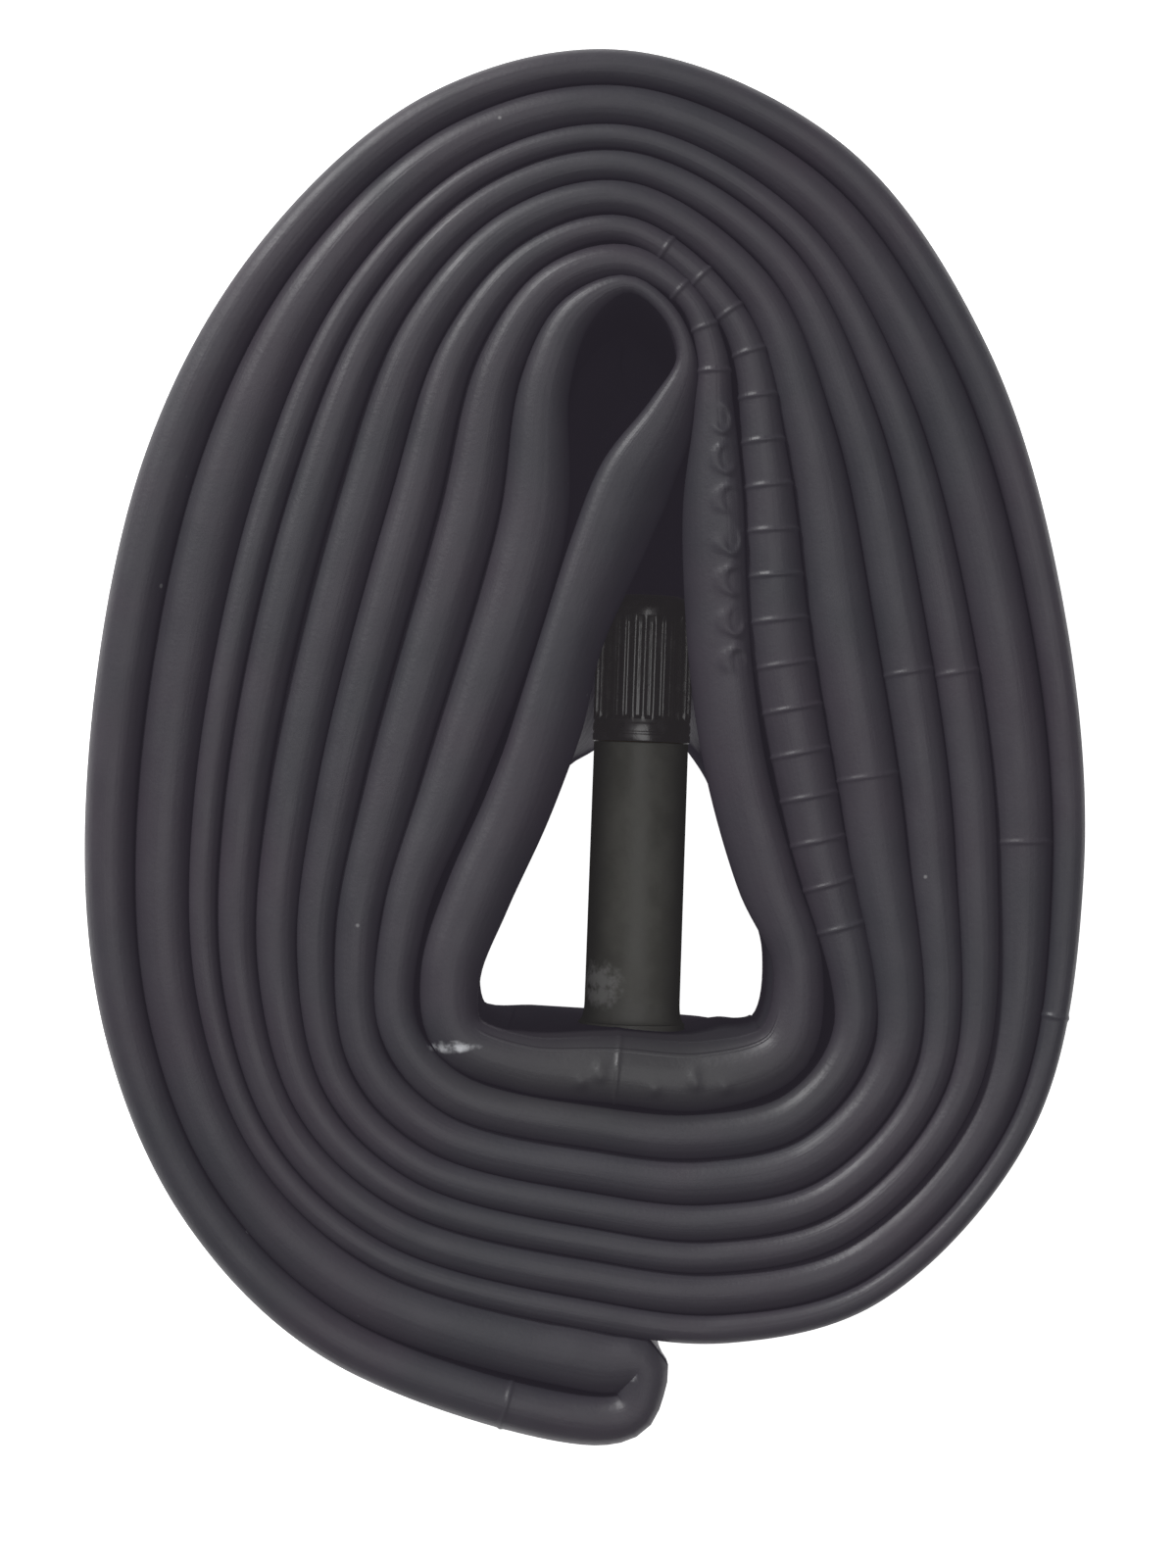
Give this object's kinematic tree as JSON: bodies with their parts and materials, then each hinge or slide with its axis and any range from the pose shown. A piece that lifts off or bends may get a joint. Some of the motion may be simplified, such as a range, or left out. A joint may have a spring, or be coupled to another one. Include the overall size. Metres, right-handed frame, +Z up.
{
  "type": "rolled bicycle inner tube",
  "caption": "Bicycle inner tube pressed flat and rolled up for storage on its side, with a rubber-covered car-type valve, a sprung core and a ribbed screw-on dust cap.",
  "frame": {"origin": "middle of the roll's footprint, on the surface it lies on", "axes": "+Y towards the hook at the top of the roll, the way the valve stem points; +Z up out of the surface, across the width of the flat tube"},
  "size_m": [0.0838, 0.1168, 0.044],
  "materials": {
    "butyl": "satin",
    "stem_rubber": "satin",
    "cap_plastic": "satin",
    "brass": "satin",
    "steel": "satin",
    "seal_rubber": "matte",
    "ptfe": "matte"
  },
  "bodies": {
    "roll": {"tube_roll": "butyl", "valve_patch": "butyl", "stem_cover": "stem_rubber", "stem_insert": "brass", "core_plug": "brass", "core_barrel": "brass", "core_gasket": "ptfe", "core_spring": "steel"},
    "tail": {"tube_tail": "butyl"},
    "cap_carrier": {"cap_seal": "seal_rubber"},
    "cap": {"valve_cap": "cap_plastic"},
    "core": {"core_pin": "brass", "core_cup": "brass", "core_seal": "seal_rubber"}
  },
  "joints": [
    {"name": "tail_swing", "type": "hinge", "parent": "roll", "child": "tail", "pos_m": [-0.03324, -0.04027, 0.022], "axis": [0, 0, -1], "range_deg": [0, 40], "stiffness_Nm_per_rad": 0.03},
    {"name": "cap_lift", "type": "slide", "parent": "roll", "child": "cap_carrier", "axis": [0.0349, 0.9994, 0], "range_m": [0, 0.0016]},
    {"name": "cap_turn", "type": "hinge", "parent": "cap_carrier", "child": "cap", "pos_m": [0.00534, 0.00727, 0.022], "axis": [0.0349, 0.9994, 0], "range_deg": [0, 720]},
    {"name": "core_press", "type": "slide", "parent": "roll", "child": "core", "axis": [-0.0349, -0.9994, 0], "range_m": [0, 0.0012], "stiffness_N_per_m": 400, "springref_m": -0.001, "deforming": ["core_spring"]}
  ],
  "couplings": [
    {"joint": "cap_lift", "follows": "cap_turn", "m_per_rad": 0.00012637}
  ]
}
